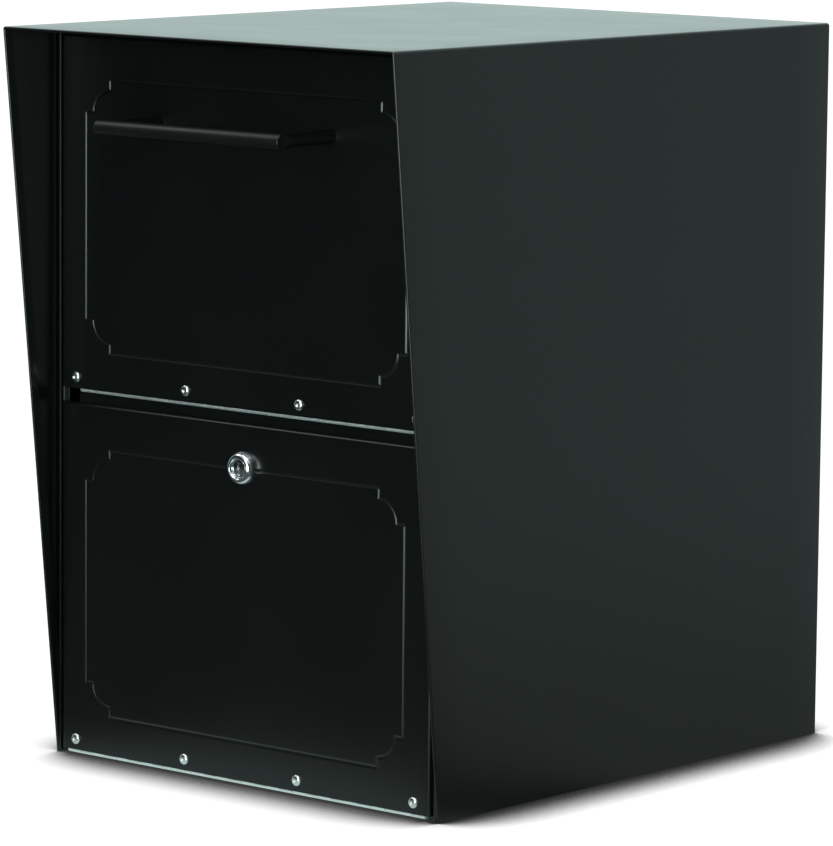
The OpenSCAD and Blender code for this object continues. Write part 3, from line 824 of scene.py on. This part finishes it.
def rivet(grip):
    """A pop rivet on the Z axis: a domed head with a hole down its middle and the broken
    stem at the bottom of the hole, a shank, and a mushroomed end behind the sheets."""
    hole, rim = 1.15 * MM, 0.35 * MM
    crest_r = hole + 0.3 * MM
    rise = np.radians(np.linspace(90, 0, 9))
    dome = np.column_stack([
        crest_r + (RIVET_HEAD_R - crest_r) * np.cos(rise), rim + (RIVET_HEAD_H - rim) * np.sin(rise)
    ])
    stem = [(0, 1.1 * MM), (0.55 * MM, 1.0 * MM), (0.85 * MM, 0.7 * MM), (hole, 0.65 * MM),
            (hole, RIVET_HEAD_H - 0.25 * MM)]
    bulb_end = -grip - 2 * MM
    tail = [(RIVET_HEAD_R, 0), (RIVET_SHANK_R, 0), (RIVET_SHANK_R, -grip), (3.2 * MM, -grip),
            (3.1 * MM, -grip - 0.9 * MM), (2.2 * MM, bulb_end), (0, bulb_end)]
    return turned(np.vstack([stem, dome, tail]), steps=32)


def door_rivets(axis_z, grip):
    """Four rivets in a row above the hinge, evenly spaced."""
    one = facing_front(rivet(grip))
    places = OUTER_RIVET_X * np.array([-1, -1 / 3, 1 / 3, 1])
    return join(*[moved(one, (x, front_y, axis_z + RIVET_RISE)) for x in places])


# ---- Hinges ----

def knuckle():
    """One knuckle's section: a tab that runs down from the leaf and rolls most of the way
    round the pin, its outer arc at the knuckle's radius and its inner arc at the bore."""
    outer = arc((0, 0), KNUCKLE_R, 180, ROLL_END_DEG, steps=26)
    inner = arc((0, 0), KNUCKLE_BORE, ROLL_END_DEG, 180, steps=26)
    tab = KNUCKLE_R + KNUCKLE_GAP + LEAF
    return np.vstack([[(-KNUCKLE_R, tab)], outer, inner, [(LEAF - KNUCKLE_R, tab)]])


def hinge_leaf(half_l, count, first):
    """A leaf standing on the axis: a flat strip and every second knuckle from first."""
    low = KNUCKLE_R + KNUCKLE_GAP
    left, right = -KNUCKLE_R, LEAF - KNUCKLE_R
    corners = [(left, low), (right, low), (right, LEAF_REACH), (left, LEAF_REACH)]
    strip = rounded(corners, 0.2 * MM, steps=3)
    one = prism(knuckle(), 0, KNUCKLE_PITCH - KNUCKLE_GAP, along_x, 0.12 * MM)
    starts = (np.arange(first, count, 2) - count / 2) * KNUCKLE_PITCH + KNUCKLE_GAP / 2
    return join(prism(strip, -half_l, half_l, along_x), *[moved(one, (x, 0, 0)) for x in starts])


def hinge_pieces(name, body, axis_z, count):
    """The door's leaf stands up. The frame's leaf lies back, with its Y and Z exchanged."""
    door_leaf, frame_leaf = name + "_door_leaf", name + "_frame_leaf"
    axis = (0, hinge_y, axis_z)
    standing = moved(hinge_leaf(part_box(door_leaf)[1].x, count, 0), axis)
    points, faces = hinge_leaf(count * KNUCKLE_PITCH / 2, count, 1)
    lying_back = moved((points[:, [0, 2, 1]], faces), axis)
    make(name + "_door_hinge", standing, body, "hinge_steel", [door_leaf])
    make(name + "_frame_hinge", lying_back, "cabinet", "hinge_steel", [frame_leaf])


def hinge_pin(name):
    """The pin that both leaves turn on, its ends eased on small arcs."""
    low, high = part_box(name)
    pin_r, ease = (high.z - low.z) / 2, 0.3 * MM
    end = arc((pin_r - ease, high.x - ease), ease, 0, 90, steps=4)
    half = np.vstack([end, [(0, high.x)]])
    profile = np.vstack([half[::-1], half * (1, -1)])
    return moved(lying(turned(profile, steps=24)), (0, hinge_y, (low.z + high.z) / 2))


def leaf_rivets(name, count, tail_h):
    """Rivets with low domed heads down through a frame leaf. Their tails are low domes too,
    or are flush under the sheet when tail_h is 0."""
    low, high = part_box(name)
    head_r, head_h, shank_r = 3 * MM, 1 * MM, 1.6 * MM
    rise = np.radians(np.linspace(90, 0, 9))
    dome = np.column_stack([head_r * np.cos(rise), LEAF + head_h * np.sin(rise)])
    shank = [(shank_r, LEAF), (shank_r, -SHEET)]
    tail = [(0, -SHEET)]
    if tail_h:
        tail = [(2.4 * MM, -SHEET), (2.2 * MM, -SHEET - 0.7 * tail_h), (1.4 * MM, -SHEET - tail_h),
                (0, -SHEET - tail_h)]
    one = turned(np.vstack([dome, shank, tail]), steps=28)
    middle_y, base_z = (low.y + high.y) / 2, high.z - head_h - LEAF
    places = np.linspace(low.x + head_r, high.x - head_r, count)
    return join(*[moved(one, (x, middle_y, base_z)) for x in places])


def door_pieces():
    """Both doors' faces and rivets, and their hinges with the pins and the low rivets."""
    for name, body, axis_z, knuckles, grip, holes, tail_h in (
        ("upper", "hopper", upper_axis_z, 26, 3.35 * MM, 6, 1.2 * MM),
        ("lower", "retrieval_door", lower_axis_z, 28, 2.15 * MM, 7, 0),
    ):
        skin = name + "_door_skin"
        rivets = name + "_door_rivets"
        make(name + "_door_panel", door_face(skin, axis_z), body, "powder_coat", [skin],
             SHEET, (0, -1, 0))
        make(name + "_pop_rivets", door_rivets(axis_z, grip), body, "rivet_steel", [rivets])
        hinge_pieces(name, body, axis_z, knuckles)
        pin, fixings = name + "_hinge_pin", name + "_leaf_rivets"
        make(pin + "_round", hinge_pin(pin), "cabinet", "hinge_steel", [pin])
        low_rivets = leaf_rivets(fixings, holes, tail_h)
        make(fixings + "_low", low_rivets, "cabinet", "rivet_steel", [fixings])


# ---- Handle ----

def handle():
    """A round bar with eased ends on two posts. A post widens exponentially where it meets
    the bar, up to a limit, and where it meets the door, as fillets do."""
    low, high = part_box("door_handle")
    bar_r = (high.z - low.z) / 2
    bar_y = low.y + bar_r
    bar_z = (low.z + high.z) / 2
    ease = 0.9 * MM
    start_cap = arc((bar_r - ease, low.x + ease), ease, -90, 0, steps=5)
    end_cap = arc((bar_r - ease, high.x - ease), ease, 0, 90, steps=5)
    profile = np.vstack([[(0, low.x)], start_cap, end_cap, [(0, high.x)]])
    bar = moved(lying(turned(profile, steps=64)), (0, bar_y, bar_z))
    length = front_y - bar_y
    along = np.linspace(0, length, 40)
    to_bar = np.maximum(length - bar_r - along, 0)
    fillet = np.minimum(2.2 * MM * np.exp(-to_bar / (1.3 * MM)), 0.5 * MM)
    foot = 0.8 * MM * np.exp(-along / (0.8 * MM))
    flared = np.column_stack([POST_R + fillet + foot, along])
    post = facing_front(turned(np.vstack([[(0, 0)], flared, [(0, length)]]), steps=40))
    reach = high.x - POST_INSET
    posts = [moved(post, (side * reach, front_y, bar_z)) for side in (-1, 1)]
    make("handle_bar", join(bar, *posts), "hopper", "handle_coat", ["door_handle"])


# ---- Lock ----

def lock_bezel():
    """The lock's body, one profile turned: a cone out from the plug, a rolled rim, a dome of
    a quarter ellipse, and the threaded barrel behind, its thread a ripple of the radius."""
    low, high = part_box("lock_housing")
    bezel_r = (high.x - low.x) / 2
    bezel_h = front_y - low.y
    barrel_l = high.y - front_y
    rim_r, lip_r, wall_h = 8.4 * MM, 0.45 * MM, 0.5 * MM
    mouth_h = bezel_h - 1.4 * MM
    rise = np.radians(np.linspace(82, 0, 14))
    dome = np.column_stack([
        rim_r + (bezel_r - rim_r) * np.cos(rise), wall_h + (bezel_h - wall_h) * np.sin(rise)
    ])
    lip = arc((rim_r - 0.1 * MM, bezel_h - lip_r), lip_r, 190, 80, steps=8)
    cone = [(PLUG_BORE, mouth_h), (PLUG_BORE + 0.35 * MM, mouth_h + 0.1 * MM)]
    depth = np.linspace(0, barrel_l, 64)
    ripple = 0.5 + 0.5 * np.cos(2 * math.pi * depth / THREAD_PITCH)
    barrel = np.column_stack([BARREL_R - SLIT - THREAD_DEPTH * ripple, -depth])
    inside = [(PLUG_BORE, -barrel_l), (PLUG_BORE, mouth_h)]
    profile = np.vstack([cone, lip, dome, [(bezel_r, 0)], barrel, inside])
    return moved(facing_front(turned(profile, steps=72)), (lock_x, front_y, lock_z))


def within(distance, limit, slope):
    """1 well inside a limit, falling to 0 at it over a slope."""
    return np.clip((limit - distance) / slope, 0, 1)


def keyway(x, y):
    """How deep the keyway is at a point of the plug's face: a slot along a zigzag."""
    path = MM * np.array([(0, 4.3), (0, 1.4), (0.8, 0.5), (-0.4, -0.9), (0.5, -4.2)])
    away = np.minimum.reduce([to_line(x, y, a, b) for a, b in zip(path, path[1:])])
    return 3 * MM * within(away, 0.85 * MM, 0.2 * MM)


def cross_recess(x, y):
    """How deep a screw's cross recess is at a point of its head: near either of two lines,
    and not too far out."""
    away = np.minimum(np.abs(x), np.abs(y))
    return 0.9 * MM * within(np.hypot(x, y), 1.9 * MM, 0.5 * MM) * within(away, 0.5 * MM, 0.15 * MM)


def lock_plug():
    """The plug's face is a low dome with the keyway sunk in it. Behind, its side is turned
    and its tail is square, to turn the cam."""
    low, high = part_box("lock_plug")
    plug_r = (high.x - low.x) / 2
    face_h = front_y - low.y
    tail_h = front_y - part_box("lock_cam")[0].y
    crown, chamfer, tail_half_w, overlap = 0.9 * MM, 0.4 * MM, 2.5 * MM, 0.2 * MM
    back = crown - face_h + tail_h
    rim = [(plug_r - chamfer, 0), (plug_r, -chamfer), (plug_r, back), (0, back)]
    plug = moved(sunk_head(plug_r - chamfer, crown, keyway, rim), (0, 0, face_h - crown))
    corners = tail_half_w * np.array([(-1, -1), (1, -1), (1, 1), (-1, 1)])
    tail = prism(rounded(corners, 0.5 * MM), front_y - high.y, tail_h + overlap, along_z)
    return moved(facing_front(join(plug, tail)), (lock_x, front_y, lock_z))


def lock_cam():
    """A flat bar with a round tip, and a wider round hub on the plug's tail. The hub's arc
    starts where it is as far from the middle line as the bar's side."""
    low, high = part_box("lock_cam")
    hub_r = high.x - lock_x
    meet = math.degrees(math.asin(CAM_TIP_R / hub_r))
    tip = arc((low.x - lock_x + CAM_TIP_R, 0), CAM_TIP_R, 90, 270, steps=20)
    hub = arc((0, 0), hub_r, meet - 180, 180 - meet, steps=40)
    bar = prism(np.vstack([tip, hub]), low.y, high.y, along_y, edge=0.3 * MM)
    return moved(bar, (lock_x, 0, lock_z))


def lock_nut():
    """A hexagonal nut with eased corners and chamfered faces."""
    low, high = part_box("lock_nut")
    hexagon = arc((0, 0), (high.x - low.x) / 2, 0, 300, steps=5)
    outline = rounded(hexagon, 1.2 * MM, steps=3)
    nut = prism(outline, low.y, high.y, along_y, edge=0.45 * MM, bore_r=BARREL_R)
    return moved(nut, (lock_x, 0, lock_z))


def lock_washer():
    """A toothed washer: its outline's radius ripples round the lock."""
    low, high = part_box("lock_washer")
    steps, tooth_depth = 12 * WASHER_TEETH, 0.5 * MM
    turn = 2 * math.pi * np.arange(steps) / steps
    radius = (high.x - low.x) / 2 - tooth_depth * (0.5 + 0.5 * np.cos(WASHER_TEETH * turn))
    outline = np.column_stack([radius * np.cos(turn), radius * np.sin(turn)])
    washer = prism(outline, low.y, high.y, along_y, edge=0.12 * MM, bore_r=BARREL_R)
    return moved(washer, (lock_x, 0, lock_z))


def pan_head(shank_r, shank_l, head_r, head_h):
    """A pan-head screw pointing down the Z axis, its head's underside at height 0."""
    crown = 0.5 * MM
    face_r = head_r - 0.5 * MM
    top = head_h - crown
    tip = -top - shank_l
    side = [(face_r, 0), (head_r - 0.12 * MM, -0.25 * MM), (head_r, -0.6 * MM), (head_r, -top),
            (shank_r, -top), (shank_r, tip), (0, tip)]
    return moved(sunk_head(face_r, crown, cross_recess, side, steps=64, rings=24), (0, 0, top))


def screw_pieces():
    """The cam's screw, and the two that hold the handle's posts from inside the door."""
    cam_shank_r, handle_shank_r = 1.5 * MM, 2.4 * MM
    low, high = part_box("cam_screw")
    head_r = (high.x - low.x) / 2
    cam_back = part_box("lock_cam")[1].y
    screw = facing_back(pan_head(cam_shank_r, cam_back - low.y, head_r, high.y - cam_back))
    screw = moved(screw, (lock_x, cam_back, lock_z))
    make("cam_pan_screw", screw, "lock_core", "zinc_plate", ["cam_screw"])
    low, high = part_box("handle_screws")
    door_back = front_y + SHEET
    screw = facing_back(pan_head(handle_shank_r, door_back - low.y, head_r, high.y - door_back))
    z = (low.z + high.z) / 2
    both = [moved(screw, (x, door_back, z)) for x in (low.x + head_r, high.x - head_r)]
    make("handle_pan_screws", join(*both), "hopper", "zinc_plate", ["handle_screws"])


def lock_pieces():
    """The lock on the retrieval door, and the screws."""
    make("lock_bezel", lock_bezel(), "retrieval_door", "lock_chrome", ["lock_housing"])
    make("lock_core_plug", lock_plug(), "lock_core", "lock_chrome", ["lock_plug"])
    make("lock_cam_bar", lock_cam(), "lock_core", "zinc_plate", ["lock_cam"])
    make("lock_hex_nut", lock_nut(), "retrieval_door", "zinc_plate", ["lock_nut"])
    make("lock_star_washer", lock_washer(), "retrieval_door", "zinc_plate", ["lock_washer"])
    screw_pieces()


# ---- Studio: a heading is 0 the way the doors face and 90 to the right ----

CAMERA_HEADING = 40.484
CAMERA_ELEVATION = 7.88
CAMERA_ROLL = 0.549
CAMERA_DISTANCE = 3.749
CAMERA_AIM = (0.0719, -0.1160, 0.2657)
CAMERA_LENS = 216.7
LAMP_AIM = (0, 0, 0.3)
COOL_WHITE = (0.8, 1.0, 0.96, 1)
PURE_WHITE = (1, 1, 1, 1)
SOFT_BOX_GLOW = 10.5
DIM_GLOW = 0.014
FLOOR_R = 30
FLOOR_GAP = 0.3 * MM


def stand(item, heading, elevation, distance, aim, roll=0.0):
    """Puts a camera or lamp at a distance from the aim point, looking at it, from a heading
    and an elevation. Its own axes are the level and upright ones, turned by the roll."""
    a, e, turn = math.radians(heading), math.radians(elevation), math.radians(roll)
    back = np.array([math.sin(a) * math.cos(e), -math.cos(a) * math.cos(e), math.sin(e)])
    level = np.array([math.cos(a), math.sin(a), 0])
    upright = np.cross(back, level)
    right = level * math.cos(turn) + upright * math.sin(turn)
    up = upright * math.cos(turn) - level * math.sin(turn)
    holder = placed(item.name, item)
    facing = Matrix(np.column_stack([right, up, back]).tolist()).to_4x4()
    holder.matrix_world = Matrix.Translation(np.array(aim) + distance * back) @ facing
    return holder


def place_camera():
    """The camera, with a long lens and a very small roll."""
    camera = bpy.data.cameras.new("camera")
    camera.lens = CAMERA_LENS
    bpy.context.scene.camera = stand(
        camera, CAMERA_HEADING, CAMERA_ELEVATION, CAMERA_DISTANCE, CAMERA_AIM, CAMERA_ROLL
    )


def lamp(name, heading, elevation, distance, width, height, power):
    """A rectangular soft box."""
    light = bpy.data.lights.new(name, "AREA")
    light.shape = "RECTANGLE"
    light.size = width
    light.size_y = height
    light.energy = power
    stand(light, heading, elevation, distance, LAMP_AIM)


def heading_glow(r, direction, heading, none_at, full_at):
    """A smooth share from 0 to 1 as a direction turns to a heading: it starts and is full at
    these cosines of the angle between them."""
    a = math.radians(heading)
    along = r.vector("DOT_PRODUCT", direction, (math.sin(a), -math.cos(a), 0), output="Value")
    return along.ramp(none_at, full_at)


def surroundings(r, direction, soft_box_glow=SOFT_BOX_GLOW):
    """How bright the room looks in a reflection along a direction: white behind the object,
    grey on its right, dim on the front left, with a tall soft box in front."""
    behind = heading_glow(r, direction, 230, 0.35, 0.92) * 1.3
    right = heading_glow(r, direction, 132, 0.35, 0.85) * 0.46
    soft_box = heading_glow(r, direction, 20, 0.93, 0.99) * soft_box_glow
    overhead = r.axis(direction, "Z").ramp(0.35, 0.8) * 0.8
    return DIM_GLOW + behind + right + soft_box + overhead


def room():
    """A white room seen directly, lit unevenly by its surroundings."""
    world = bpy.data.worlds.new("room")
    bpy.context.scene.world = world
    world.use_nodes = True
    r = Recipe(world.node_tree)
    direction = r.node("ShaderNodeTexCoord", output="Generated")
    seen = r.node("ShaderNodeLightPath", output="Is Camera Ray")
    glow = surroundings(r, direction)
    light = r.node("ShaderNodeBackground", {}, {"Color": COOL_WHITE, "Strength": glow})
    white = r.node("ShaderNodeBackground", {}, {"Color": PURE_WHITE, "Strength": 1.1})
    mixed = r.node("ShaderNodeMixShader", {}, {0: seen, 1: light, 2: white})
    r.node("ShaderNodeOutputWorld", {}, {"Surface": mixed})


def painted_floor_shadow(r, here):
    """The painted shadow on the floor where it is seen directly: its glow is painted darker the less
    open the space over it is, deeper on the right side of the object, and black under its base."""
    open_sky = r.node("ShaderNodeAmbientOcclusion", {"samples": 16}, {"Distance": 0.1}, output="AO")
    # Painted contact shadow: the floor's glow is ramped down where ambient occlusion finds the object close
    painted_floor_brightness = open_sky.ramp(0.48, 0.87, 0.05, 1.1)
    x, y = r.axis(here, "X"), r.axis(here, "Y")
    outside = (abs(x) - half_w).larger(abs(y) - back_y).ramp(-0.012, -0.004)
    # Painted extra shade: the floor's glow is made darker along the object's right side
    painted_side_shade = x.ramp(half_w - 0.025, half_w, 0.0, 0.8)
    return painted_floor_brightness * (1 - painted_side_shade * (1 - painted_floor_brightness)) * outside


def painted_floor_glow(r, here):
    """How bright the floor's painted light looks in a reflection: a painted bright patch by the
    object's front, and the room's own brightness further away, with the soft box only far from the object."""
    distance = r.vector("LENGTH", here, output="Value")
    heading = r.vector("NORMALIZE", here)
    near = distance.ramp(1.8, 0.3) * 0.5
    middle = distance.ramp(2.6, 0.6) * 0.075
    far = distance.ramp(0.9, 2.6)
    # Painted bright patch in front of the object, seen only in reflections
    painted_front_patch = distance.ramp(0.4, 0.27) * heading_glow(r, heading, 355, 0.55, 0.8) * 0.6
    return surroundings(r, heading, far * SOFT_BOX_GLOW) * (1 - near) + middle + painted_front_patch


def floor():
    """A plain white disc just under the object. Seen directly it glows white with a painted shadow, in reflections
    it glows with painted light, and only to other rays is it a matt floor.
    """
    material, r = new_recipe("pale_floor")
    here = r.node("ShaderNodeTexCoord", output="Object")
    glossy = r.node("ShaderNodeLightPath", output="Is Glossy Ray")
    direct = r.node("ShaderNodeLightPath", output="Is Camera Ray")
    matt = r.node("ShaderNodeBsdfDiffuse", {}, {"Color": (0.9, 0.9, 0.9, 1)})
    painted_shadow, glow = painted_floor_shadow(r, here), painted_floor_glow(r, here)
    # Seen directly, the floor is a white glow whose strength is the painted shadow
    white = r.node("ShaderNodeEmission", {}, {"Color": PURE_WHITE, "Strength": painted_shadow})
    seen = r.node("ShaderNodeMixShader", {}, {0: direct, 1: matt, 2: white})
    # In reflections the floor glows with painted light rather than reflecting real light
    painted_reflection_glow = r.node("ShaderNodeEmission", {}, {"Color": COOL_WHITE, "Strength": glow})
    mixed = r.node("ShaderNodeMixShader", {}, {0: glossy, 1: seen, 2: painted_reflection_glow})
    r.node("ShaderNodeOutputMaterial", {}, {"Surface": mixed})
    turn = np.linspace(0, 2 * math.pi, 64, endpoint=False)
    rim = FLOOR_R * np.column_stack([np.cos(turn), np.sin(turn)])
    mesh = bpy.data.meshes.new("floor")
    mesh.from_pydata(along_z(rim, -FLOOR_GAP).tolist(), [], [list(range(len(rim)))])
    mesh.materials.append(material)
    placed("floor", mesh)


# ---- Build ----

for part in frame["record"]["subparts"]:
    cad_mesh = frame["nodes"][part["node"]].data
    cad_mesh.materials.clear()
    cad_mesh.materials.append(finishes[part["material_slot"]])

place_camera()
room()
floor()
lamp("front_box", 12, 30, distance=3.2, width=1.4, height=1.6, power=20)
lamp("right_box", 95, 35, distance=3.0, width=1.6, height=1.6, power=15)
lamp("left_box", -62, 44, distance=3.0, width=1.3, height=0.9, power=9)
lamp("top_box", 60, 80, distance=2.6, width=2.4, height=2.4, power=50)
bpy.context.scene.view_settings.view_transform = "Standard"

cabinet_pieces()
inner_pieces()
door_pieces()
handle()
lock_pieces()
